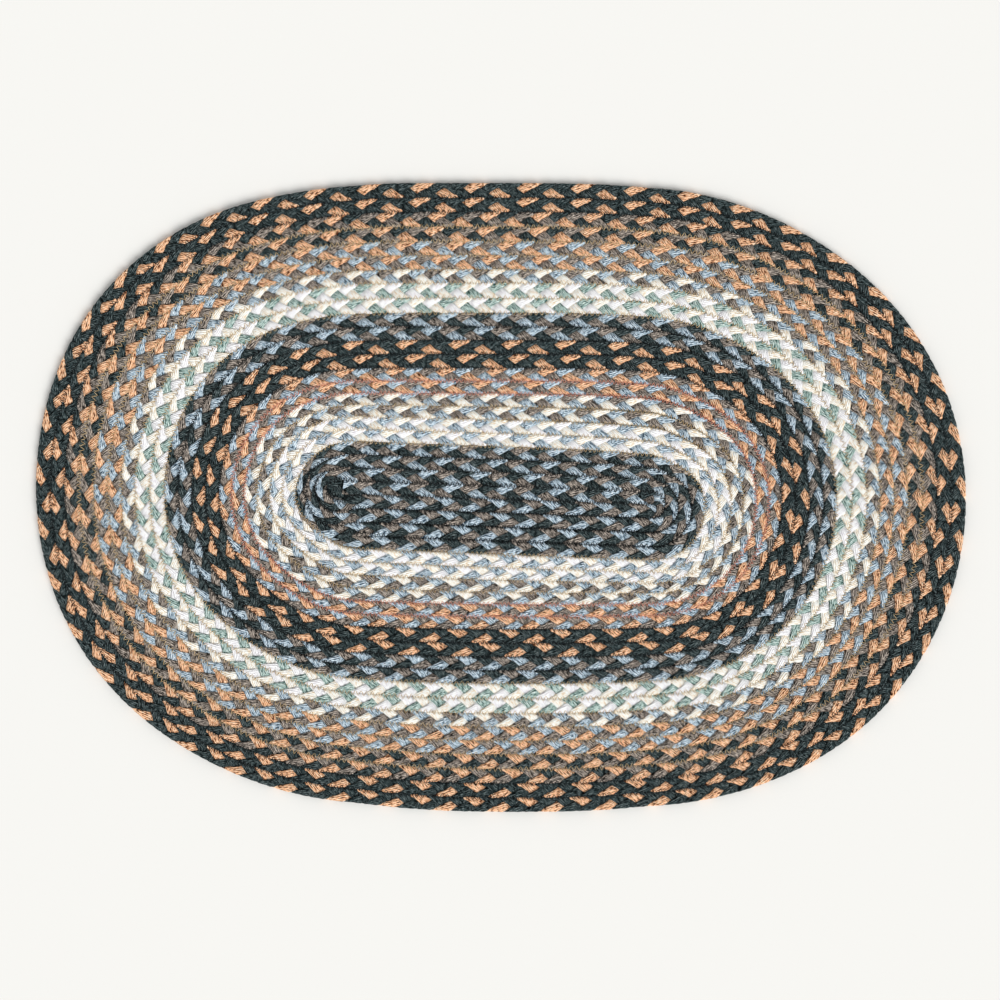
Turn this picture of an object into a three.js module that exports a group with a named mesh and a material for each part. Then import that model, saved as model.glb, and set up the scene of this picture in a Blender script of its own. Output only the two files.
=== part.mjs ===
// Oval braided doormat, lying flat.
//
// A flat braid of jute is coiled round a straight first pass, and each turn is sewn to the one inside
// it. The mat is one piece of one thickness: its top shows a rounded ridge for each turn with a sewn
// groove between turns, and its underside is the same.
//
// Millimetres, +Z up, +X along the mat. The origin is under the middle of the mat, on the floor.

import * as THREE from 'three';
import { mergeVertices } from 'three/addons/utils/BufferGeometryUtils.js';

// ---- driving dimensions ---------------------------------------------------------------------

const coreLength = 245.2;      // straight part of the first pass, which the turns run round
const thickness = 7;           // over the ridges
const grooveDepth = 1.9;       // top and underside, where two turns are sewn together
const crownShare = 0.44;       // share of a turn's width that lies flat on top, and stands on the floor
const rimHeightShare = 0.36;   // share of the thickness that the outermost edge is upright for
const coreDrop = 1.3;          // how far the first pass lies off the middle, towards -Y
const lean = 0.034;            // how far it drops in each millimetre towards +X
const levelFrom = 100;         // the turns lean with it, less and less, until this far from it

// Bands of one colouring, from the middle outwards: the turns in each, and the width of one turn.
const bands = [
  { turns: 4, turnWidth: 10.85 },
  { turns: 2, turnWidth: 10.65 },
  { turns: 2, turnWidth: 10.45 },
  { turns: 2, turnWidth: 10.45 },
  { turns: 2, turnWidth: 11.50 },
  { turns: 2, turnWidth: 11.20 },
  { turns: 2, turnWidth: 12.25 },
  { turns: 1, turnWidth: 11.20 },
  { turns: 2, turnWidth: 11.50 },
  { turns: 2, turnWidth: 12.10 },
  { turns: 2, turnWidth: 11.70 },
];

// Where the hand-sewn oval pulls in (minus) or bulges (plus). at is the place round the mat, from 0 at
// the middle of the +Y side and clockwise seen from above, up to 1; reach is the spread of the swell in
// the same measure; rim and middle are its size at the outer edge and just outside the middle band.
const swells = [
  { at: 0.141, reach: 0.040, rim: -8.2, middle: -5.2 },
  { at: 0.355, reach: 0.060, rim: 0, middle: 2.4 },
  { at: 0.382, reach: 0.034, rim: -6.4, middle: 0 },
  { at: 0.500, reach: 0.080, rim: 0, middle: 2.2 },
  { at: 0.634, reach: 0.045, rim: -12.0, middle: 0 },
  { at: 0.672, reach: 0.036, rim: 0, middle: -4.8 },
  { at: 0.735, reach: 0.070, rim: 1.6, middle: 5.2 },
  { at: 0.812, reach: 0.034, rim: 6.2, middle: 0 },
  { at: 0.888, reach: 0.019, rim: -4.1, middle: 0 },
];

const arcSteps = 14;           // facets round each end of the mat
const jute = { color: 0x6f7a7e, roughness: 0.95, metalness: 0 };

// ---- the turns ------------------------------------------------------------------------------

const turnWidths = bands.flatMap((band) => Array(band.turns).fill(band.turnWidth));
const middleRadius = bands[0].turns * bands[0].turnWidth;
const rimRadius = turnWidths.reduce((sum, width) => sum + width, 0);

// Places round the mat are measured on the oval half way out, so that they suit every turn.
const guideRadius = rimRadius / 2;
const guideArc = Math.PI * guideRadius;
const guideLength = 2 * coreLength + 2 * guideArc;

function swellAt(place, radius) {
  const out = THREE.MathUtils.clamp((radius - middleRadius) / (rimRadius - middleRadius), 0, 1);
  const fade = THREE.MathUtils.smoothstep(radius, 0, middleRadius);
  let sum = 0;
  for (const swell of swells) {
    const gap = place - swell.at;
    const distance = (gap - Math.round(gap)) / swell.reach;
    const size = THREE.MathUtils.lerp(swell.middle, swell.rim, out);
    sum += size * Math.exp(-0.5 * distance * distance);
  }
  return sum * fade;
}

// The stations round the mat, clockwise from the -X end of the +Y side. Each has the point of the core
// line that it is measured from, and the direction outwards.
function stations() {
  const half = coreLength / 2;
  const xs = [-half, 0, half];
  const list = [];
  for (const x of xs) {
    list.push({ core: [x, 0], out: [0, 1], place: x / guideLength });
  }
  for (let step = 1; step < arcSteps; step += 1) {
    const angle = (Math.PI * step) / arcSteps;
    const place = (half + guideRadius * angle) / guideLength;
    list.push({ core: [half, 0], out: [Math.sin(angle), Math.cos(angle)], place });
  }
  for (const x of [...xs].reverse()) {
    const place = (half + guideArc + half - x) / guideLength;
    list.push({ core: [x, 0], out: [0, -1], place });
  }
  for (let step = 1; step < arcSteps; step += 1) {
    const angle = (Math.PI * step) / arcSteps;
    const place = (3 * half + guideArc + guideRadius * angle) / guideLength;
    list.push({ core: [-half, 0], out: [-Math.sin(angle), -Math.cos(angle)], place });
  }
  return list;
}

// Half of the cross-section: across the top from the core line to the rim, and back underneath.
function profile() {
  const side = (1 - crownShare) / 2;
  const top = [{ radius: 0, height: thickness - grooveDepth }];
  let inner = 0;
  turnWidths.forEach((width, turn) => {
    top.push({ radius: inner + side * width, height: thickness });
    top.push({ radius: inner + (1 - side) * width, height: thickness });
    inner += width;
    const last = turn === turnWidths.length - 1;
    const rimTop = (thickness * (1 + rimHeightShare)) / 2;
    top.push({ radius: inner, height: last ? rimTop : thickness - grooveDepth });
  });
  const under = top.map((point) => ({ radius: point.radius, height: thickness - point.height }));
  return [...top, ...under.reverse()];
}

function pointAt(station, point) {
  const radius = point.radius + swellAt(station.place, point.radius);
  const leaning = 1 - THREE.MathUtils.smoothstep(radius, middleRadius, levelFrom);
  const drop = (coreDrop + lean * station.core[0]) * leaning;
  return [
    station.core[0] + station.out[0] * radius,
    station.core[1] + station.out[1] * radius - drop,
    point.height,
  ];
}

// ---- the mat --------------------------------------------------------------------------------

// Sweeps the section round the stations. Its inner ends meet on the core line, so the strip between
// them is left out, and so is each facet that has shrunk to nothing.
function matGeometry() {
  const around = stations();
  const section = profile();
  const points = around.map((station) => section.map((point) => pointAt(station, point)));
  const triangles = [];

  const distance = (a, b) => Math.hypot(a[0] - b[0], a[1] - b[1], a[2] - b[2]);
  const facet = (a, b, c) => {
    const smallest = Math.min(distance(a, b), distance(b, c), distance(c, a));
    if (smallest > 1e-6) {
      triangles.push(...a, ...b, ...c);
    }
  };

  points.forEach((here, index) => {
    const ahead = points[(index + 1) % points.length];
    for (let i = 0; i + 1 < section.length; i += 1) {
      facet(here[i], ahead[i + 1], here[i + 1]);
      facet(here[i], ahead[i], ahead[i + 1]);
    }
  });

  const geometry = new THREE.BufferGeometry();
  geometry.setAttribute('position', new THREE.Float32BufferAttribute(triangles, 3));
  const merged = mergeVertices(geometry, 1e-3);
  merged.computeBoundingBox();
  const middle = merged.boundingBox.getCenter(new THREE.Vector3());
  merged.translate(-middle.x, -middle.y, 0);
  merged.computeVertexNormals();
  return merged;
}

const doormat = new THREE.Group();
const mat = new THREE.Mesh(matGeometry(), new THREE.MeshStandardMaterial(jute));
mat.name = 'braided_mat';
doormat.add(mat);

export default doormat;
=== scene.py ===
"""Oval braided jute doormat: eleven bands of three-strand braid, laid flat round a straight heart and
sewn turn to turn with a zigzag stitch.

Metres, +Z up, +X along the mat. The origin is under the middle of the mat, on the floor. Run as a
script, it makes every strand of the braid, the sewing thread, and a plain studio stage."""

import math
from collections import namedtuple

import bpy
import numpy as np
from bpy.props import FloatProperty, FloatVectorProperty, IntProperty, PointerProperty
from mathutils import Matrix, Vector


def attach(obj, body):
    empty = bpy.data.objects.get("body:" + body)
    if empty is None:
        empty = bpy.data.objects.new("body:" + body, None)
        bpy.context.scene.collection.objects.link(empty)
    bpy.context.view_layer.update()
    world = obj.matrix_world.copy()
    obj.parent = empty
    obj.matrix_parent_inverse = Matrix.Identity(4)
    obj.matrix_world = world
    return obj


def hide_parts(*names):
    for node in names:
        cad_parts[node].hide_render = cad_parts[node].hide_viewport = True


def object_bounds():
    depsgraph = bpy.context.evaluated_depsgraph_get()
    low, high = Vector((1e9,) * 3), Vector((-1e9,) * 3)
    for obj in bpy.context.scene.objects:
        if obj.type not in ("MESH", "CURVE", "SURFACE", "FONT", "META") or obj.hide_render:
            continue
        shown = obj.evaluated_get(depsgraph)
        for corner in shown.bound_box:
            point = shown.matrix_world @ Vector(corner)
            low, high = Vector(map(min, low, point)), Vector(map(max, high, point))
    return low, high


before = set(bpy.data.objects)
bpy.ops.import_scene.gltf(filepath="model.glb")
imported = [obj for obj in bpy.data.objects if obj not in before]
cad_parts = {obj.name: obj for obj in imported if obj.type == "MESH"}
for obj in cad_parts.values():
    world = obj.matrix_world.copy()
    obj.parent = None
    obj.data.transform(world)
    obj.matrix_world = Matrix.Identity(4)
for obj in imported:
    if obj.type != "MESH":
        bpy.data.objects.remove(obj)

bl_info = {
    "name": "Braided oval doormat",
    "version": (1, 0, 0),
    "blender": (4, 5, 0),
    "location": "3D View > Sidebar > Doormat",
    "description": "Makes an oval doormat of braided jute, with its sewing thread and a studio stage",
    "category": "Add Mesh",
}

CAD_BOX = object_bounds()
NODE = "braided_mat"
BODY = "root"
MM = 0.001
UP = (0, 0, 1)

# ---- the mat's plan -------------------------------------------------------------------------

Band = namedtuple("Band", "name turns width pitch lobes strands")

# From the heart outwards. width is one turn's, and pitch is the length in which a strand returns to
# the same side of its braid, both in millimetres. lobes say how far clockwise of the middle of the +Y
# side, in millimetres, the first strand shows on the outer half of each turn, or of the last turn of
# the heart. The strands are in the order in which they surface, going clockwise.
BANDS = (
    Band("heart", 4, 10.85, 43.6, (14.7,), ("taupe", "charcoal", "blue")),
    Band("inner_white", 2, 10.65, 39.6, (-12.7, -3.6), ("cream", "white", "blue")),
    Band("inner_cream", 2, 10.45, 40.0, (-0.8, -10.9), ("cream", "blue", "taupe")),
    Band("inner_rust", 2, 10.45, 42.0, (-16.4, -4.5), ("rust", "blue", "taupe")),
    Band("inner_dark", 2, 11.50, 43.1, (13.8, 8.3), ("rust", "charcoal", "charcoal")),
    Band("slate", 2, 11.20, 43.4, (-0.8, 13.8), ("taupe", "charcoal", "blue")),
    Band("sage", 2, 12.25, 37.425, (-7.2, -3.6), ("sage", "cream", "white")),
    Band("outer_cream", 1, 11.20, 38.6, (-5.4,), ("cream", "blue", "taupe")),
    Band("outer_rust", 2, 11.50, 41.8, (-9.0, 3.8), ("rust", "blue", "taupe")),
    Band("outer_dark", 2, 12.10, 43.0, (-27.3, -24.6), ("taupe", "rust", "charcoal")),
    Band("rim", 2, 11.70, 44.2, (-23.7, -22.8), ("rust", "charcoal", "charcoal")),
)

Swell = namedtuple("Swell", "at reach rim middle heart")

# Where the hand-sewn oval pulls in (minus) or bulges (plus), in millimetres. at is the place round the
# mat, from 0 at the middle of the +Y side and clockwise up to 1, and reach is the spread in the same
# measure. rim and middle are the sizes at the outer edge and just outside the heart, and heart is the
# share that the heart follows.
SWELLS = (
    Swell(0.141, 0.040, -8.2, -5.2, 1),
    Swell(0.355, 0.060, 0.0, 2.4, 1),
    Swell(0.382, 0.034, -6.4, 0.0, 1),
    Swell(0.500, 0.080, 0.0, 2.2, 1),
    Swell(0.634, 0.045, -12.0, 0.0, 1),
    Swell(0.672, 0.036, 0.0, -4.8, 0),
    Swell(0.735, 0.070, 1.6, 5.2, 1),
    Swell(0.812, 0.034, 6.2, 0.0, 1),
    Swell(0.888, 0.019, -4.1, 0.0, 1),
)

TURN_WIDTHS = np.array([band.width for band in BANDS for _ in range(band.turns)]) * MM
TURN_EDGES = np.concatenate(([0.0], np.cumsum(TURN_WIDTHS)))
HEART_TURNS = BANDS[0].turns
HEART_EDGE = TURN_EDGES[HEART_TURNS]
RIM = TURN_EDGES[-1]

CORE_LENGTH = 0.2452
HALF_CORE = CORE_LENGTH / 2
GUIDE_RADIUS = RIM / 2
GUIDE_ARC = math.pi * GUIDE_RADIUS
GUIDE_LENGTH = 2 * CORE_LENGTH + 2 * GUIDE_ARC
PATH_STEPS = 720
HEART_STEPS = PATH_STEPS * HEART_TURNS

# The core line lies this far below the guide's middle and drops by this share of its length towards
# +X. The turns lean with it, less and less until they lie level at this distance from it.
CORE_DROP = 0.0013
LEAN = 0.034
LEVEL_FROM = 0.1

# The heart is one coil. It begins at the left end of the core, and on the lower left it steps out by
# one turn between these two places. It ends at the third, in its last turn, where it narrows and is
# sewn down under the next band.
STEP_PLACES = (0.575, 0.715)
END_PLACE = 0.655
HEART_START = -HALF_CORE / GUIDE_LENGTH
HEART_END = HEART_TURNS - 1 + END_PLACE
TAIL_LENGTH = 0.045
TAIL_SIZE = 0.4
TAIL_TUCK = 0.33

# The sewing along the coil starts this part of a turn after the step begins, and stops as much before
# the coil's end.
SEAM_MARGIN = 0.03

# The coil starts this far beyond the core. Its turns are pushed out round that start and leave a small
# eye, this much at the core and at the outer edge of each turn, most in this direction above -X and
# less to each side of it. This first share of the coil stays where it is.
LEAD_LENGTH = 0.0085
EYE_PUSHES = (0.0, 0.0115, 0.0093, 0.0055, 0.0)
EYE_ANGLE = 0.30
EYE_SPREAD = 0.45
EYE_FREE_SHARE = 0.05

# The end of the braid is turned under, and lies in the eye, wide and low. It comes down by this slope
# and stops beside the coil's start, this share of a turn's width below it towards -Y. The end is real
# braid, but its all-charcoal colour is painted shade for the dark eye.
UNDER_LENGTH = 0.023
UNDER_WIDTH = 1.25
UNDER_DROP = 0.0022
UNDER_SLOPE = 0.28
UNDER_SIDE = 0.4
UNDER_STEPS = 25

# A strand surfaces this many pitches before the middle of the patch that it shows.
LOBE_START = 0.15

# In the heart's tight bends more braid is sewn in than its middle line is long, and in its wide ones
# less: this much more for each radian at the core, and none at this distance from it.
GATHER = 0.0072
EVEN_AT = 0.029


def smooth(low, high, value):
    share = np.clip((value - low) / (high - low), 0, 1)
    return share * share * (3 - 2 * share)


def swell(place, radius, in_heart=False):
    """How far the oval is pushed out at a place, for a line at that radius."""
    radius = np.maximum(radius, 0)
    out = np.clip((radius - HEART_EDGE) / (RIM - HEART_EDGE), 0, 1)
    total = np.zeros(np.broadcast(place, radius).shape)
    for bump in SWELLS:
        gap = place - bump.at
        away = (gap - np.round(gap)) / bump.reach
        size = bump.middle + (bump.rim - bump.middle) * out
        if in_heart:
            size = size * bump.heart
        total += size * MM * np.exp(-0.5 * away * away)
    return total * smooth(0, HEART_EDGE, radius)


def oval(place, radius):
    """The points at these places round the mat and distances from its core line."""
    along = np.mod(place, 1) * GUIDE_LENGTH
    radius = np.broadcast_to(radius, along.shape)
    x = np.zeros(along.shape)
    y = np.zeros(along.shape)
    first = along < HALF_CORE
    right = ~first & (along < HALF_CORE + GUIDE_ARC)
    near = ~first & ~right & (along < 3 * HALF_CORE + GUIDE_ARC)
    left = ~first & ~right & ~near & (along < 3 * HALF_CORE + 2 * GUIDE_ARC)
    last = ~(first | right | near | left)
    x[first] = along[first]
    y[first] = radius[first]
    turn = (along[right] - HALF_CORE) / GUIDE_RADIUS
    x[right] = HALF_CORE + radius[right] * np.sin(turn)
    y[right] = radius[right] * np.cos(turn)
    x[near] = 2 * HALF_CORE + GUIDE_ARC - along[near]
    y[near] = -radius[near]
    turn = (along[left] - 3 * HALF_CORE - GUIDE_ARC) / GUIDE_RADIUS
    x[left] = -HALF_CORE - radius[left] * np.sin(turn)
    y[left] = -radius[left] * np.cos(turn)
    x[last] = along[last] - GUIDE_LENGTH
    y[last] = radius[last]
    leaning = 1 - smooth(HEART_EDGE, LEVEL_FROM, radius)
    y -= (CORE_DROP + LEAN * np.clip(x, -HALF_CORE, HALF_CORE)) * leaning
    return np.stack([x, y], 1)


def shift_to_middle():
    """The move that brings the middle of the outline over the origin."""
    places = np.arange(PATH_STEPS) / PATH_STEPS
    outline = oval(places, RIM + swell(places, RIM))
    return -(outline.min(0) + outline.max(0)) / 2


MIDDLE = shift_to_middle()


def length_of(points, closed):
    ends = np.roll(points, -1, 0) if closed else points[1:]
    starts = points if closed else points[:-1]
    return np.linalg.norm(ends - starts, axis=1).sum()


def closed_turn(turn, pitch, lobe):
    """The middle line of one closed turn and its size, starting where the first strand surfaces."""
    inner, outer = TURN_EDGES[turn], TURN_EDGES[turn + 1]
    radius = (inner + outer) / 2
    places = np.arange(PATH_STEPS) / PATH_STEPS
    whole = length_of(oval(places, radius + swell(places, radius)), True)
    pitch = whole / round(whole / pitch)
    places = places + (lobe - pitch * LOBE_START) / GUIDE_LENGTH
    points = oval(places, radius + swell(places, radius))
    width = outer - inner + swell(places, outer) - swell(places, inner)
    return points + MIDDLE, width / (outer - inner), True


def heart_radius(coil, share=0.5):
    """The coil's distance from the core line, at share 0.5 for its middle and 0 for its inner edge."""
    turn = np.floor(coil - HEART_START)
    place = coil - turn
    return (turn + share + smooth(*STEP_PLACES, place)) * TURN_WIDTHS[0]


def heart_line(share=0.5, start=HEART_START, end=HEART_END):
    """The heart's coil and its size, from its start to its narrow end."""
    coil = np.linspace(start, end, HEART_STEPS)
    radius = heart_radius(coil, share)
    points = oval(coil, radius)
    left = np.cumsum(np.linalg.norm(np.diff(points, axis=0, append=points[-1:]), axis=1)[::-1])[::-1]
    tail = 1 - smooth(0, TAIL_LENGTH, left)
    radius = radius - TAIL_TUCK * TURN_WIDTHS[0] * tail
    points = oval(coil, radius + swell(coil, radius, in_heart=True))
    return points + MIDDLE, 1 - (1 - TAIL_SIZE) * tail, False


def led_in(line):
    """A line with the coil's start before its first point, straight on beyond the core."""
    points, sizes, closed = line
    back = np.linspace(LEAD_LENGTH, 0, 13)[:-1]
    lead = points[0] + np.outer(back, (-1, LEAN))
    return np.concatenate([lead, points]), np.append(np.ones(len(back)), sizes), closed


def under_line():
    """The end of the braid that is turned under at the coil's start."""
    points, _, _ = heart_line()
    back = np.linspace(UNDER_LENGTH, 0, UNDER_STEPS)
    x, y = points[0]
    ys = y - UNDER_SIDE * TURN_WIDTHS[0] + UNDER_SLOPE * back
    places = [x - back, ys, np.full(UNDER_STEPS, -UNDER_DROP)]
    return np.stack(places, 1), np.full(UNDER_STEPS, UNDER_WIDTH), False


def from_core(points):
    """How far points lie from the core line, and the way out from it to them."""
    x, y = (points[:, :2] - MIDDLE).T
    on_core = np.clip(x, -HALF_CORE, HALF_CORE)
    ways = np.stack([x - on_core, y + CORE_DROP + LEAN * on_core], 1)
    radius = np.linalg.norm(ways, axis=1)
    return radius, ways / np.maximum(radius, 1e-9)[:, None]


def round_eye(line, first=0.0):
    """A line of the heart pushed out round the eye, but for this first share of it."""
    points, sizes, closed = line
    radius, ways = from_core(points)
    away = (np.arctan2(ways[:, 1], -ways[:, 0]) - EYE_ANGLE) / EYE_SPREAD
    share = np.exp(-0.5 * away * away) * (np.arange(len(points)) >= first * len(points))
    edges = TURN_EDGES[: HEART_TURNS + 1]
    half = TURN_WIDTHS[0] / 2
    spread = np.interp(radius + half, edges, EYE_PUSHES) - np.interp(radius - half, edges, EYE_PUSHES)
    points = points.copy()
    points[:, :2] += ways * (np.interp(radius, edges, EYE_PUSHES) * share)[:, None]
    return points, sizes * (1 + spread / half / 2 * share), closed


def braid_lengths(points, closed):
    """The length of braid used up to each point of a clockwise line, and in all of it."""
    radius, _ = from_core(points)
    points = points[:, :2]
    after_last = points[:1] if closed else 2 * points[-1:] - points[-2:-1]
    legs = np.diff(points, axis=0, append=after_last)
    lengths = np.linalg.norm(legs, axis=1)
    heading = np.unwrap(np.arctan2(legs[:, 1], legs[:, 0]))
    bends = np.append(0, -np.diff(heading))
    gathered = 0.0 if closed else GATHER * bends * (1 - radius / EVEN_AT)
    used = np.append(0, np.cumsum(lengths + gathered))
    return (used[:-1], used[-1]) if closed else (used[:-1], used[-2])


def paced(line, pitch, steps):
    """A line whose points are one step of its braid apart, with steps of them in a pitch."""
    points, sizes, closed = line
    used, whole = braid_lengths(points, closed)
    if closed:
        count = round(whole / pitch) * steps
        places = np.arange(count) / count * whole
        used = np.append(used, whole)
        points = np.append(points, points[:1], 0)
        sizes = np.append(sizes, sizes[:1])
    else:
        places = np.arange(int(whole / pitch * steps) + 1) * pitch / steps
    points = np.stack([np.interp(places, used, values) for values in points.T], 1)
    return points, np.interp(places, used, sizes), closed


def seam_line(edge):
    """The closed line between two turns."""
    radius = TURN_EDGES[edge]
    places = np.arange(PATH_STEPS) / PATH_STEPS
    points = oval(places, radius + swell(places, radius))
    return points + MIDDLE, np.ones(PATH_STEPS), True


def heart_seams():
    """The line between the first two passes, and the one that follows the coil outwards from it."""
    xs = np.linspace(-HALF_CORE, HALF_CORE, PATH_STEPS)
    core = np.stack([xs, -CORE_DROP - LEAN * xs], 1) + MIDDLE
    coil = heart_line(share=0.0, start=STEP_PLACES[0] + SEAM_MARGIN, end=HEART_END - SEAM_MARGIN)
    return [(core, np.ones(PATH_STEPS), False), round_eye(coil)]


# ---- node trees -----------------------------------------------------------------------------


class Signal:
    """A node's output that maths can be written with: each operator adds its Math node."""

    def __init__(self, sheet, socket):
        self.sheet = sheet
        self.socket = socket

    def maths(self, operation, *values):
        sockets = dict(enumerate(values))
        return self.sheet.add("ShaderNodeMath", {"operation": operation}, sockets)

    def __add__(self, other):
        return self.maths("ADD", self, other)

    __radd__ = __add__

    def __sub__(self, other):
        return self.maths("SUBTRACT", self, other)

    def __rsub__(self, other):
        return self.maths("SUBTRACT", other, self)

    def __mul__(self, other):
        return self.maths("MULTIPLY", self, other)

    __rmul__ = __mul__

    def __truediv__(self, other):
        return self.maths("DIVIDE", self, other)

    def __pow__(self, other):
        return self.maths("POWER", self, other)

    def __gt__(self, other):
        return self.maths("GREATER_THAN", self, other)

    def __abs__(self):
        return self.maths("ABSOLUTE", self)

    def floor(self):
        return self.maths("FLOOR", self)

    def round(self):
        return self.maths("ROUND", self)

    def sin(self):
        return self.maths("SINE", self)

    def sign(self):
        return self.maths("SIGN", self)

    def max(self, other):
        return self.maths("MAXIMUM", self, other)

    def min(self, other):
        return self.maths("MINIMUM", self, other)

    def clamp(self):
        return self.max(0).min(1)

    def eased(self):
        """A rounded step from -1 to 1 as the value goes from -1 to 1."""
        value = self.max(-1).min(1)
        return value * (1.5 - value * value * 0.5)


class Sheet:
    """A node tree being written, for a material or for Geometry Nodes."""

    def __init__(self, tree):
        self.tree = tree

    def add(self, kind, settings=None, sockets=None, output=0):
        """Adds a node, sets it up, fills or links its sockets, and gives one of its outputs."""
        node = self.tree.nodes.new(kind)
        for name, value in (settings or {}).items():
            setattr(node, name, value)
        self.fill(node, sockets or {})
        return Signal(self, node.outputs[output])

    def fill(self, node, sockets):
        for name, value in sockets.items():
            if isinstance(value, Signal):
                self.tree.links.new(value.socket, node.inputs[name])
            else:
                node.inputs[name].default_value = value

    def vector(self, operation, *values):
        return self.add("ShaderNodeVectorMath", {"operation": operation}, dict(enumerate(values)))

    def scaled(self, vector, size):
        settings = {"operation": "SCALE"}
        return self.add("ShaderNodeVectorMath", settings, {"Vector": vector, "Scale": size})

    def joined(self, x, y, z):
        return self.add("ShaderNodeCombineXYZ", None, {"X": x, "Y": y, "Z": z})

    def split(self, vector):
        node = self.add("ShaderNodeSeparateXYZ", None, {"Vector": vector}).socket.node
        return [Signal(self, socket) for socket in node.outputs]

    def noise(self, vector, scale, detail=2.0, roughness=0.5, seed=0.0):
        """Noise of about 0 to 1 over a vector."""
        settings = {"noise_dimensions": "4D"}
        values = {"Vector": vector, "W": seed, "Scale": scale, "Detail": detail, "Roughness": roughness}
        return self.add("ShaderNodeTexNoise", settings, values)

    def captured(self, geometry, kind, fields):
        """Geometry that carries these values, and the values as it carries them."""
        node = self.tree.nodes.new("GeometryNodeCaptureAttribute")
        self.tree.links.new(geometry.socket, node.inputs["Geometry"])
        for name, field in fields.items():
            node.capture_items.new(kind, name)
            self.tree.links.new(field.socket, node.inputs[name])
        carried = [Signal(self, node.outputs[name]) for name in fields]
        return Signal(self, node.outputs["Geometry"]), carried


def geometry_sheet(name, inputs):
    """A Geometry Nodes tree with these named inputs, the signals of them, and its output node."""
    tree = bpy.data.node_groups.new(name, "GeometryNodeTree")
    tree.interface.new_socket("Geometry", in_out="OUTPUT", socket_type="NodeSocketGeometry")
    for label, kind in inputs.items():
        tree.interface.new_socket(label, in_out="INPUT", socket_type=kind)
    sheet = Sheet(tree)
    entry = tree.nodes.new("NodeGroupInput")
    signals = {label: Signal(sheet, entry.outputs[label]) for label in inputs}
    return sheet, signals, tree.nodes.new("NodeGroupOutput")


def tube_along(sheet, line, sides, radius):
    """A closed tube along a line, and where each point of it lies on its ring: across, up and about."""
    ring = sheet.add("GeometryNodeCurvePrimitiveCircle", None, {"Resolution": sides, "Radius": radius})
    across, up, _ = sheet.split(sheet.add("GeometryNodeInputPosition"))
    about = sheet.add("GeometryNodeSplineParameter", None, None, "Factor")
    ring, spots = sheet.captured(ring, "FLOAT", {"across": across, "up": up, "about": about})
    sockets = {"Curve": line, "Profile Curve": ring, "Fill Caps": True}
    return sheet.add("GeometryNodeCurveToMesh", None, sockets), spots


def finish_tree(sheet, tube, maps, material, end):
    """Every tree ends in real geometry with its maps and its material."""
    for name, places in maps.items():
        tube = sheet.add(
            "GeometryNodeStoreNamedAttribute",
            {"data_type": "FLOAT2", "domain": "CORNER"},
            {"Geometry": tube, "Name": name, "Value": places},
        )
    real = sheet.add("GeometryNodeRealizeInstances", None, {"Geometry": tube})
    smoothed = sheet.add("GeometryNodeSetShadeSmooth", None, {"Geometry": real})
    dressed = sheet.add("GeometryNodeSetMaterial", None, {"Geometry": smoothed, "Material": material})
    sheet.tree.links.new(dressed.socket, end.inputs[0])
    return sheet.tree


def outward_of(sheet):
    """The level direction out of the mat, square to a clockwise line."""
    tangent = sheet.add("GeometryNodeInputTangent")
    return sheet.vector("NORMALIZE", sheet.vector("CROSS_PRODUCT", UP, tangent))


def wrapped(sheet, value, whole):
    """A value that grows round a closed line, made to go on past the last face to the whole."""
    face = {"data_type": "FLOAT", "domain": "FACE"}
    middle = sheet.add("GeometryNodeFieldOnDomain", face, {"Value": value})
    return value + whole * (middle - value > whole / 4)


def crossing(value, gone, turn, flat, tall):
    """Where a point of a strand lies in one half pitch of its braid.

    A flat strand crosses the braid at a slant, on top while it heads outwards from the middle and
    underneath on its way back, and turns over at the edge. gone is how much of the half pitch is
    behind the point, in pitches; turn is 1 if the edge is the outer one and -1 if it is the inner
    one; flat and tall are the point's place on a round section. Across the braid, lengths are in half
    widths of it, with 0 at its middle and 1 at that edge. Gives the place across the braid, the level
    from -1 underneath to 1 on top, the height in the strand's own section, and the place across the
    strand, measured on over the top and round underneath."""
    left = 0.5 - gone
    out_line = (gone - value["Delay"]).max(0) * value["Crossing"]
    back_line = (left - value["Delay"]).max(0) * value["Crossing"]

    # low and high are the two edges of the strand, and turned says how far each face of it has turned
    # over: its underside first, and then its top, each within the width of the fold from the edge.
    out_low = out_line - value["Breadth"]
    back_low = back_line - value["Breadth"]
    high = (out_line.min(back_line) + value["Breadth"]).min(1)
    fold = 0.25
    is_top = (tall * 2 + 0.5).clamp()
    turned_top = ((out_low - 1 + fold) / fold).clamp()
    turned_under = 1 - ((back_low - 1 + fold) / fold).clamp()
    turned = turned_under + (turned_top - turned_under) * is_top
    low = out_low + (back_low - out_low) * turned

    round_flat = flat.sign() * abs(flat) ** value["Squareness"]
    round_tall = tall.sign() * abs(tall) ** value["Squareness"]
    across = low + (high - low) * (round_flat * turn + 1) / 2
    bend = 2.0
    above = ((across + gone * value["Crossing"]) * bend).eased()
    below = ((across + left * value["Crossing"]) * bend).eased()
    level = above - (below + above) * turned

    mend = 2 - (0.5 - value["Delay"] * 2) * value["Crossing"]
    on_top = across - out_line
    lane = (on_top + (mend - across + back_line - on_top) * turned - mend * gone * 2) * turn
    return across, level, round_tall, lane


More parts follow.
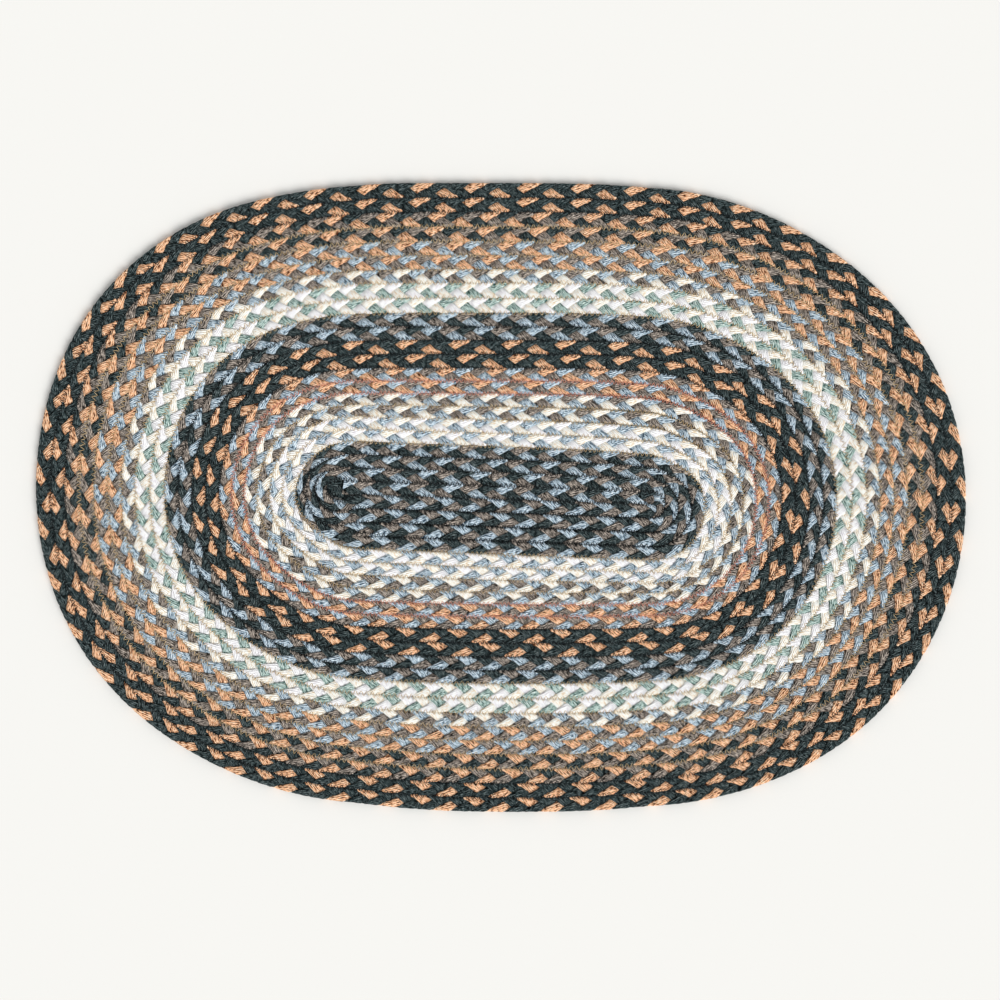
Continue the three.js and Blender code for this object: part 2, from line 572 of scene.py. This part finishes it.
def strand_tree():
    """One strand of a flat three-strand braid, along every line of a path that is paced for it. A
    point of the path that lies below 0 lowers its strand there and makes it thinner."""
    floats = "Phase Width Crossing Delay Breadth Rise Depth Middle Squareness Skew Wander Seed"
    inputs = {"Path": "NodeSocketObject", "Steps": "NodeSocketInt", "Sides": "NodeSocketInt"}
    inputs |= {name: "NodeSocketFloat" for name in floats.split()}
    inputs["Material"] = "NodeSocketMaterial"
    sheet, value, end = geometry_sheet("Braid strand", inputs)

    path = sheet.add("GeometryNodeObjectInfo", None, {"Object": value["Path"]}, "Geometry")
    line = sheet.add("GeometryNodeSetCurveNormal", {"mode": "Z_UP"}, {"Curve": path})
    place = sheet.add("GeometryNodeInputPosition")
    step = sheet.add("GeometryNodeSplineParameter", None, None, "Index")
    halves = (step / value["Steps"] + value["Phase"]) * 2
    half = halves.floor()
    line, (gone, turn, size, dip, along, total) = sheet.captured(
        line,
        "FLOAT",
        {
            "gone": (halves - half) / 2,
            "turn": 1 - (half - (half / 2).floor() * 2) * 2,
            "size": sheet.add("GeometryNodeInputRadius"),
            "dip": sheet.split(place)[2],
            "along": sheet.add("GeometryNodeSplineParameter", None, None, "Length"),
            "total": sheet.add("GeometryNodeSplineLength"),
        },
    )
    line, (place, outward, tangent) = sheet.captured(
        line,
        "VECTOR",
        {
            "place": place,
            "outward": outward_of(sheet),
            "tangent": sheet.add("GeometryNodeInputTangent"),
        },
    )
    tube, (flat, tall, about) = tube_along(sheet, line, value["Sides"], 1.0)
    across, level, round_tall, lane = crossing(value, gone, turn, flat, tall)

    waves = 90
    stray_out = (sheet.noise(place, waves, 1, 0.5, value["Seed"]) - 0.5) * value["Wander"] * 2
    stray_up = (sheet.noise(place, waves, 1, 0.5, value["Seed"] + 7) - 0.5) * value["Wander"]
    thin = (size * 1.25).min(1 + dip / value["Middle"])
    lateral = across * turn * value["Width"] * size / 2 + stray_out
    height = value["Middle"] + (level * value["Rise"] + round_tall * value["Depth"] + stray_up) * thin
    sideways = sheet.scaled(outward, lateral)
    ahead = sheet.scaled(tangent, lateral * value["Skew"])
    offset = sheet.vector("ADD", sheet.vector("ADD", sideways, ahead), sheet.joined(0.0, 0.0, height))
    place = sheet.vector("ADD", place, offset)
    tube = sheet.add("GeometryNodeSetPosition", None, {"Geometry": tube, "Position": place})

    grown = wrapped(sheet, along, total)
    maps = {
        "strand": sheet.joined(grown, lane * value["Width"] / 2, 0.0),
        "unrolled": sheet.joined(grown, wrapped(sheet, about, 1.0), 0.0),
    }
    return finish_tree(sheet, tube, maps, value["Material"], end)


def thread_tree():
    """A zigzag stitch along every line of a path, sewn into the top (Side 1) or underside (Side -1)."""
    floats = "Stitch Reach Thickness Bridge Sink Side Stray"
    inputs = {"Path": "NodeSocketObject", "Braid": "NodeSocketCollection"}
    inputs |= {"Sides": "NodeSocketInt", "Leg": "NodeSocketInt", "Seed": "NodeSocketInt"}
    inputs |= {name: "NodeSocketFloat" for name in floats.split()}
    inputs["Material"] = "NodeSocketMaterial"
    sheet, value, end = geometry_sheet("Zigzag thread", inputs)

    path = sheet.add("GeometryNodeObjectInfo", None, {"Object": value["Path"]}, "Geometry")
    whole = sheet.add("GeometryNodeSplineLength")
    count = (whole / value["Stitch"]).round() * value["Leg"] * 2
    line = sheet.add("GeometryNodeResampleCurve", None, {"Curve": path, "Count": count})

    step = sheet.add("GeometryNodeSplineParameter", None, None, "Index")
    legs = step / value["Leg"]
    swing = abs(legs - (legs / 2).round() * 2) * 2 - 1
    tip = abs(swing) > 0.99
    loose = sheet.add(
        "FunctionNodeRandomValue", {"data_type": "FLOAT_VECTOR"},
        {"Min": (-1, -1, -1), "Max": (1, 1, 1), "Seed": value["Seed"]},
    )
    off_out, off_along, _ = sheet.split(loose)
    outward = outward_of(sheet)
    tangent = sheet.add("GeometryNodeInputTangent")
    offset = sheet.vector(
        "ADD",
        sheet.scaled(outward, swing * value["Reach"] + off_out * tip * value["Stray"]),
        sheet.scaled(tangent, off_along * tip * value["Stray"]),
    )
    line = sheet.add("GeometryNodeSetPosition", None, {"Geometry": line, "Offset": offset})

    braid = sheet.add("GeometryNodeCollectionInfo", None, {"Collection": value["Braid"]})
    braid = sheet.add("GeometryNodeRealizeInstances", None, {"Geometry": braid})
    x, y, _ = sheet.split(sheet.add("GeometryNodeInputPosition"))
    far = 0.05
    found = sheet.add(
        "GeometryNodeRaycast",
        None,
        {
            "Target Geometry": braid,
            "Source Position": sheet.joined(x, y, value["Side"] * far),
            "Ray Direction": sheet.joined(0.0, 0.0, value["Side"] * -1),
            "Ray Length": 2 * far,
        },
        "Hit Position",
    )
    height = sheet.split(found)[2] * value["Side"]

    # The ends of a stitch sink in, its legs lie over the strands, and nothing goes below the floor.
    sunk = height - value["Sink"]
    bridged = (height + value["Thickness"] * 0.5).max(value["Bridge"])
    lift = ((tip * sunk + (1 - tip) * bridged) * value["Side"]).max(value["Thickness"] * 0.5)
    line = sheet.add(
        "GeometryNodeSetPosition", None, {"Geometry": line, "Position": sheet.joined(x, y, lift)}
    )
    line = sheet.add("GeometryNodeSetCurveNormal", {"mode": "Z_UP"}, {"Curve": line})
    line, (along, total) = sheet.captured(
        line,
        "FLOAT",
        {
            "along": sheet.add("GeometryNodeSplineParameter", None, None, "Length"),
            "total": sheet.add("GeometryNodeSplineLength"),
        },
    )
    tube, (_, _, about) = tube_along(sheet, line, value["Sides"], value["Thickness"] * 0.5)
    girth = value["Thickness"] * math.pi
    grown = wrapped(sheet, along, total)
    round_about = wrapped(sheet, about, 1.0)
    maps = {
        "strand": sheet.joined(grown, round_about * girth, 0.0),
        "unrolled": sheet.joined(grown, round_about, 0.0),
    }
    return finish_tree(sheet, tube, maps, value["Material"], end)


# ---- materials ------------------------------------------------------------------------------

Yarn = namedtuple("Yarn", "main shade fibre fibres")


def linear(colour):
    """A colour of 0 to 255 as the eye reads it, as linear light."""
    shares = [part / 255 for part in colour]
    return [(s / 12.92 if s <= 0.04045 else ((s + 0.055) / 1.055) ** 2.4) for s in shares] + [1]


# Each dye: its main colour, the colour of its darker yarns, which is also painted into the gaps between
# yarns as their shade, the colour of the stray fibres that show on it, which is also painted on the
# yarns' crowns as a highlight, and how many of those there are, from 0 to 1.
DYES = {
    "charcoal": Yarn((44, 58, 60), (3, 6, 7), (116, 127, 127), 0.35),
    "taupe": Yarn((121, 113, 106), (33, 29, 25), (214, 200, 186), 0.42),
    "blue": Yarn((167, 190, 205), (54, 72, 88), (238, 247, 253), 0.48),
    "rust": Yarn((246, 184, 138), (84, 43, 22), (255, 230, 200), 0.40),
    "cream": Yarn((255, 254, 245), (238, 216, 184), (255, 255, 252), 0.40),
    "white": Yarn((255, 255, 255), (234, 230, 235), (255, 255, 255), 0.40),
    "sage": Yarn((160, 188, 181), (46, 78, 72), (234, 245, 239), 0.42),
}

THREADS = {
    "dark": Yarn((26, 29, 31), (10, 12, 14), (60, 64, 66), 0.2),
    "tan": Yarn((214, 186, 140), (150, 118, 78), (240, 222, 184), 0.3),
    "salmon": Yarn((226, 152, 130), (176, 104, 84), (244, 190, 170), 0.3),
}


# The yarns of a strand slant: it has this many of them for each metre along it.
YARN_SLANT = 130


def jute_material(name, yarn, yarn_width=0.0018, ridge_height=0.0009):
    """Spun jute: soft yarns side by side along the strand, each a little lighter or darker than the
    next, with shade painted into the gaps between them, dark and pale strokes, small flecks of stray
    fibres, and a painted highlight that brings the pale fibres out most on the yarns' crowns."""
    material = bpy.data.materials.new(name)
    material.use_nodes = True
    sheet = Sheet(material.node_tree)
    shader = material.node_tree.nodes["Principled BSDF"]

    along, lane, _ = sheet.split(sheet.add("ShaderNodeUVMap", {"uv_map": "strand"}))

    def streaks(per_metre, across, layer, contrast):
        """Noise about 0: so many streaks for each metre along the strand, and apart across it."""
        places = sheet.joined(along * per_metre, across, layer)
        return (sheet.noise(places, 1.0, 1) - 0.5) * contrast

    yarns = lane / yarn_width + along * YARN_SLANT + streaks(70, lane * 90, 0.0, 1.2)
    ridge = abs((yarns * math.pi).sin())
    # The gaps between yarns: below, they pull the colour towards the shade colour, as painted shade
    # where the yarns meet.
    gap = (1 - ridge) ** 1.5
    tone = streaks(110, yarns.floor() * 7.3, 0.0, 5)
    stroke = streaks(300, yarns * 1.9, 3.0, 9)
    fleck = streaks(650, yarns * 3.7, 9.0, 9)

    # deep mixes towards the shade colour: its gap term is painted shade between the yarns, and its tone
    # and stroke terms are the yarns' own darker streaks.
    deep = (gap * 0.7 - 0.1 - tone * 0.3 - stroke * 0.8).clamp()
    pale = (yarn.fibres - 0.35 + tone * 0.2 + stroke * 0.6 + fleck * 0.5).clamp()
    colour = sheet.add(
        "ShaderNodeMix",
        {"data_type": "RGBA"},
        {"Factor": deep, "A": linear(yarn.main), "B": linear(yarn.shade)},
        "Result",
    )
    # The pale fibres show a little in the gaps and fully on the yarns' crowns: partly stray pale
    # fibres, and partly a painted highlight on the crowns.
    colour = sheet.add(
        "ShaderNodeMix",
        {"data_type": "RGBA"},
        {"Factor": pale * (0.3 + ridge * 0.7), "A": colour, "B": linear(yarn.fibre)},
        "Result",
    )
    height = ridge + stroke * 0.15 + fleck * 0.08
    bump = sheet.add(
        "ShaderNodeBump", None, {"Strength": 0.8, "Distance": ridge_height, "Height": height}
    )
    sheet.fill(
        shader,
        {
            "Base Color": colour,
            "Roughness": 0.92 + stroke * 0.02,
            "Normal": bump,
            "Specular IOR Level": 0.08,
        },
    )
    return material


def stage_material(name, colour):
    """Plain matt paper."""
    material = bpy.data.materials.new(name)
    material.use_nodes = True
    sheet = Sheet(material.node_tree)
    shader = material.node_tree.nodes["Principled BSDF"]
    grain = sheet.noise(sheet.add("ShaderNodeTexCoord", None, None, "Object"), 400, 3)
    bump = sheet.add("ShaderNodeBump", None, {"Strength": 0.05, "Distance": 0.0002, "Height": grain})
    values = {"Base Color": [*colour, 1], "Roughness": 0.9, "Specular IOR Level": 0.1, "Normal": bump}
    sheet.fill(shader, values)
    return material


# ---- making pieces --------------------------------------------------------------------------


def path_object(name, lines):
    """A curve of straight steps for each (points, sizes, closed)."""
    data = bpy.data.curves.new(name, "CURVE")
    data.dimensions = "3D"
    for points, sizes, closed in lines:
        spline = data.splines.new("POLY")
        spline.points.add(len(points) - 1)
        places = np.zeros((len(points), 4))
        places[:, : points.shape[1]] = points
        spline.points.foreach_set("co", places.ravel())
        spline.points.foreach_set("radius", np.asarray(sizes, float))
        spline.use_cyclic_u = closed
    made = bpy.data.objects.new(name, data)
    bpy.context.scene.collection.objects.link(made)
    return made


def grown(name, tree, values):
    """A piece made by a Geometry Nodes tree with these input values, as a plain mesh."""
    seed_mesh = bpy.data.meshes.new(name + "_start")
    piece = bpy.data.objects.new(name, seed_mesh)
    bpy.context.scene.collection.objects.link(piece)
    modifier = piece.modifiers.new("Grow", "NODES")
    modifier.node_group = tree
    for item in tree.interface.items_tree:
        if item.in_out == "INPUT":
            modifier[item.identifier] = values[item.name]
    made = bpy.data.meshes.new_from_object(piece.evaluated_get(bpy.context.evaluated_depsgraph_get()))
    piece.modifiers.remove(modifier)
    piece.data = made
    made.name = name
    bpy.data.meshes.remove(seed_mesh)
    return piece


def lay_out_bake_map(mesh, girth):
    """A second map that lays the strand out in rows, so that every face has room of its own. girth,
    about the length round the strand, settles how many rows make a square map."""
    unrolled = np.empty(len(mesh.loops) * 2, np.float32)
    mesh.uv_layers["unrolled"].data.foreach_get("uv", unrolled)
    mesh.uv_layers.remove(mesh.uv_layers["unrolled"])
    unrolled = unrolled.reshape(-1, 2)
    starts = np.empty(len(mesh.polygons), np.int32)
    mesh.polygons.foreach_get("loop_start", starts)
    sizes = np.diff(np.append(starts, len(mesh.loops)))
    whole = unrolled[:, 0].max()
    rows = max(1, round(math.sqrt(whole / girth)))
    row_length = whole / rows
    middles = np.add.reduceat(unrolled[:, 0], starts) / sizes
    row = np.minimum(np.repeat((middles / row_length).astype(int), sizes), rows - 1)
    margin = 0.006
    gutter = 0.04
    across = (unrolled[:, 0] - row * row_length + margin) / (row_length + 2 * margin)
    up = (row + gutter + (1 - 2 * gutter) * unrolled[:, 1]) / rows
    layer = mesh.uv_layers.new(name="OFBake")
    layer.data.foreach_set("uv", np.column_stack([across, up]).astype(np.float32).ravel())


def settle(piece):
    """A finished piece belongs to the mat and stands for its solid."""
    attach(piece, BODY)
    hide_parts(NODE)


def band_lines(number):
    """The middle lines of a band's turns."""
    if number == 0:
        return [led_in(heart_line())]
    first = sum(band.turns for band in BANDS[:number])
    band = BANDS[number]
    lobes = enumerate(band.lobes, first)
    return [closed_turn(turn, band.pitch * MM, lobe * MM) for turn, lobe in lobes]


def weave(band, lines, phase, seed, sizes, tree, dyes):
    """A band's three strands along its lines, each a piece of its own."""
    path = path_object(band.name + "_path", lines)
    made = []
    for order, dye in enumerate(band.strands):
        values = {
            "Path": path,
            "Steps": sizes.steps,
            "Sides": sizes.sides,
            "Phase": phase - order / 3,
            "Width": band.width * MM + 2 * sizes.press,
            "Crossing": sizes.crossing,
            "Delay": sizes.delay,
            "Breadth": sizes.breadth,
            "Rise": sizes.rise,
            "Depth": sizes.depth,
            "Middle": sizes.rise + sizes.depth,
            "Squareness": sizes.squareness,
            "Skew": sizes.skew,
            "Wander": sizes.wander,
            "Seed": seed + order,
            "Material": dyes[dye],
        }
        piece = grown(f"{band.name}_{order + 1}_{dye}", tree, values)
        lay_out_bake_map(piece.data, band.width * MM * 2)
        settle(piece)
        made.append(piece)
    bpy.data.objects.remove(path)
    return made


def heart_phase(pitch):
    """The phase that brings the heart's first strand to its place on the heart's last turn."""
    points, _, _ = led_in(heart_line())
    used, _ = braid_lengths(points, False)
    mark = HEART_TURNS - 1 + BANDS[0].lobes[0] * MM / GUIDE_LENGTH
    before_mark = np.searchsorted(np.linspace(HEART_START, HEART_END, HEART_STEPS), mark)
    return LOBE_START - used[len(points) - HEART_STEPS + before_mark] / pitch


# ---- settings -------------------------------------------------------------------------------


class DoormatBraid(bpy.types.PropertyGroup):
    """Sizes of the three-strand braid."""

    crossing: FloatProperty(
        name="Crossing", description="Half widths of the braid that a strand would cross in one pitch",
        default=4.9, min=4, max=8,
    )
    delay: FloatProperty(
        name="Delay", description="Part of a pitch that a strand waits at the middle of the braid",
        default=0.011, min=0, max=0.1,
    )
    breadth: FloatProperty(
        name="Breadth", description="Half of a strand's width, in half widths of the braid",
        default=0.79, min=0.3, max=0.95,
    )
    depth: FloatProperty(
        name="Strand depth", description="Half of a strand's thickness",
        default=0.00178, min=0.0005, unit="LENGTH",
    )
    rise: FloatProperty(
        name="Rise", description="How far a strand goes above and below the middle of the braid",
        default=0.00172, min=0, unit="LENGTH",
    )
    press: FloatProperty(
        name="Press", description="How far neighbouring turns are sewn into each other",
        default=0.0005, min=0, unit="LENGTH",
    )
    squareness: FloatProperty(
        name="Roundness", description="1 gives an oval strand, and less gives a squarer one",
        default=0.85, min=0.3, max=1, subtype="FACTOR",
    )
    skew: FloatProperty(
        name="Skew", description="How far the outer half of the braid runs ahead of the inner half",
        default=0.12, min=-1, max=1,
    )
    wander: FloatProperty(
        name="Wander", description="How far a strand strays from an even braid",
        default=0.00035, min=0, unit="LENGTH",
    )
    steps: IntProperty(name="Steps", description="Steps along one pitch of a strand", default=14, min=6)
    sides: IntProperty(name="Sides", description="Sides round a strand", default=10, min=6)


class DoormatThread(bpy.types.PropertyGroup):
    """Sizes of the zigzag sewing."""

    sink: FloatProperty(
        name="Sink", description="How deep the ends of a stitch go in, in thicknesses of the thread",
        default=0.3, min=0, max=2,
    )
    stray: FloatProperty(
        name="Stray", description="How far the ends of a stitch stray, in thicknesses of the thread",
        default=0.5, min=0, max=2,
    )
    leg: IntProperty(name="Steps", description="Steps along one leg of the zigzag", default=3, min=1)
    sides: IntProperty(name="Sides", description="Sides round the thread", default=3, min=3)


class DoormatStage(bpy.types.PropertyGroup):
    """The studio round the mat."""

    floor: FloatVectorProperty(
        name="Floor", description="Colour of the floor", subtype="COLOR", size=3,
        default=(0.765, 0.759, 0.732), min=0, max=1,
    )
    view_width: FloatProperty(
        name="View width", description="Width of floor that the picture shows",
        default=0.8229, unit="LENGTH",
    )


# ---- operators ------------------------------------------------------------------------------

# The legs of a stitch lie at least this far up on the top, as a share of the mat's thickness, and at
# least as far down on the underside.
BRIDGE_SHARE = 0.86

Seam = namedtuple("Seam", "name thread stitch reach thickness edges")

# The sewing of each seam: its thread, the length of a whole zigzag, how far it goes to each side and
# the thread's thickness, in millimetres, and the seams it is for, counted in turns from the core. The
# heart's dark seams follow its coil.
SEAMS = (
    Seam("heart", "dark", 4.0, 2.5, 0.80, ()),
    Seam("inner", "tan", 3.6, 2.3, 0.55, (4, 5, 6, 7)),
    Seam("rust", "salmon", 3.4, 2.2, 0.65, (8, 9)),
    Seam("dark", "dark", 3.8, 2.2, 0.75, (10, 11, 12, 13)),
    Seam("outer", "tan", 4.6, 2.4, 0.60, (14, 15, 16, 17, 18, 19, 20)),
    Seam("rim", "dark", 4.6, 2.4, 0.70, (21, 22)),
)


class DOORMAT_OT_braid(bpy.types.Operator):
    """Make the three strands of every band of braid"""

    bl_idname = "doormat.braid"
    bl_label = "Braid"

    def execute(self, context):
        sizes = context.scene.doormat_braid
        tree = strand_tree()
        dyes = {dye: jute_material("jute_" + dye, yarn) for dye, yarn in DYES.items()}
        strands = bpy.data.collections.new("Strands")
        made = []
        for number, band in enumerate(BANDS):
            lines = [paced(line, band.pitch * MM, sizes.steps) for line in band_lines(number)]
            phase = 0.0
            if number == 0:
                lines = [round_eye(lines[0], EYE_FREE_SHARE)]
                phase = heart_phase(band.pitch * MM)
            made += weave(band, lines, phase, 3.0 * number, sizes, tree, dyes)
        # The turned-under end gets three charcoal strands, darker than the heart's own taupe, charcoal
        # and blue: painted shade for the shadowed eye it lies in.
        under = BANDS[0]._replace(name="under", strands=("charcoal",) * 3)
        lines = [paced(under_line(), under.pitch * MM, sizes.steps)]
        made += weave(under, lines, 0.0, 3.0 * len(BANDS), sizes, tree, dyes)
        for piece in made:
            strands.objects.link(piece)
        return {"FINISHED"}


class DOORMAT_OT_thread(bpy.types.Operator):
    """Sew every seam between two turns with a zigzag, on the top and the underside"""

    bl_idname = "doormat.thread"
    bl_label = "Sewing thread"

    def execute(self, context):
        sizes = context.scene.doormat_thread
        if "Strands" not in bpy.data.collections:
            raise RuntimeError("the braid has to be made before its sewing thread")
        strands = bpy.data.collections["Strands"]
        tree = thread_tree()
        thickness = CAD_BOX[1][2] - CAD_BOX[0][2]
        materials = {
            name: jute_material("thread_" + name, yarn, yarn_width=0.0004, ridge_height=0.0001)
            for name, yarn in THREADS.items()
        }
        for number, seam in enumerate(SEAMS):
            lines = [seam_line(edge) for edge in seam.edges] or heart_seams()
            path = path_object(seam.name + "_seams", lines)
            girth = seam.thickness * MM
            for side, face in ((1, "top"), (-1, "under")):
                values = {
                    "Path": path,
                    "Braid": strands,
                    "Sides": sizes.sides,
                    "Leg": sizes.leg if side > 0 else 1,
                    "Seed": 10 * number + side,
                    "Stitch": seam.stitch * MM,
                    "Reach": seam.reach * MM,
                    "Thickness": girth,
                    "Bridge": thickness * (BRIDGE_SHARE if side > 0 else BRIDGE_SHARE - 1),
                    "Sink": girth * sizes.sink if side > 0 else 0.0,
                    "Side": float(side),
                    "Stray": girth * sizes.stray,
                    "Material": materials[seam.thread],
                }
                piece = grown(f"thread_{seam.name}_{face}", tree, values)
                lay_out_bake_map(piece.data, girth * math.pi)
                settle(piece)
            bpy.data.objects.remove(path)
        bpy.data.collections.remove(strands)
        return {"FINISHED"}


# The floor reaches this far each way. About half of its light comes from the sky and half from a wide
# key light, this high above the floor and turned by this much from -Y towards +X, in degrees. The
# camera is above the last place.
FLOOR_REACH = 6.0
SKY_STRENGTH = 0.64
KEY_STRENGTH = 0.585
KEY_HEIGHT = 48
KEY_TURN = 35
KEY_SOFTNESS = 40
VIEW_MIDDLE = (-0.0008, -0.0021)


class DOORMAT_OT_stage(bpy.types.Operator):
    """Set up the floor, the soft light and the camera above the mat"""

    bl_idname = "doormat.stage"
    bl_label = "Stage"

    def execute(self, context):
        settings = context.scene.doormat_stage
        scene = context.scene
        mesh = bpy.data.meshes.new("floor")
        signs = ((-1, -1), (1, -1), (1, 1), (-1, 1))
        corners = [(x * FLOOR_REACH, y * FLOOR_REACH, 0) for x, y in signs]
        mesh.from_pydata(corners, [], [(0, 1, 2, 3)])
        mesh.materials.append(stage_material("floor", settings.floor))
        floor = bpy.data.objects.new("floor", mesh)
        scene.collection.objects.link(floor)

        world = bpy.data.worlds.new("Studio")
        world.use_nodes = True
        background = world.node_tree.nodes["Background"]
        background.inputs["Color"].default_value = (1.0, 1.0, 1.0, 1)
        background.inputs["Strength"].default_value = SKY_STRENGTH
        scene.world = world

        lamp = bpy.data.lights.new("key", "SUN")
        lamp.energy = KEY_STRENGTH * math.pi / math.sin(math.radians(KEY_HEIGHT))
        lamp.angle = math.radians(KEY_SOFTNESS)
        key = bpy.data.objects.new("key", lamp)
        key.rotation_euler = (math.radians(90 - KEY_HEIGHT), 0, math.radians(KEY_TURN))
        scene.collection.objects.link(key)

        camera = bpy.data.cameras.new("camera")
        camera.lens = 85
        height = camera.lens * settings.view_width / camera.sensor_width
        above = bpy.data.objects.new("camera", camera)
        above.location = (*VIEW_MIDDLE, (CAD_BOX[0][2] + CAD_BOX[1][2]) / 2 + height)
        scene.collection.objects.link(above)
        scene.camera = above
        scene.view_settings.view_transform = "Standard"
        return {"FINISHED"}


class DOORMAT_PT_panel(bpy.types.Panel):
    """The mat's operators and settings"""

    bl_idname = "DOORMAT_PT_panel"
    bl_label = "Braided doormat"
    bl_space_type = "VIEW_3D"
    bl_region_type = "UI"
    bl_category = "Doormat"

    def draw(self, context):
        groups = (
            (DOORMAT_OT_braid, context.scene.doormat_braid),
            (DOORMAT_OT_thread, context.scene.doormat_thread),
            (DOORMAT_OT_stage, context.scene.doormat_stage),
        )
        for operator, settings in groups:
            box = self.layout.box()
            box.operator(operator.bl_idname)
            for name in settings.__annotations__:
                box.prop(settings, name)


CLASSES = (
    DoormatBraid,
    DoormatThread,
    DoormatStage,
    DOORMAT_OT_braid,
    DOORMAT_OT_thread,
    DOORMAT_OT_stage,
    DOORMAT_PT_panel,
)


def register():
    for made in CLASSES:
        bpy.utils.register_class(made)
    bpy.types.Scene.doormat_braid = PointerProperty(type=DoormatBraid)
    bpy.types.Scene.doormat_thread = PointerProperty(type=DoormatThread)
    bpy.types.Scene.doormat_stage = PointerProperty(type=DoormatStage)


def unregister():
    for name in ("doormat_stage", "doormat_thread", "doormat_braid"):
        delattr(bpy.types.Scene, name)
    for made in reversed(CLASSES):
        bpy.utils.unregister_class(made)


def main():
    register()
    bpy.ops.doormat.braid()
    bpy.ops.doormat.thread()
    bpy.ops.doormat.stage()


if __name__ == "__main__":
    main()
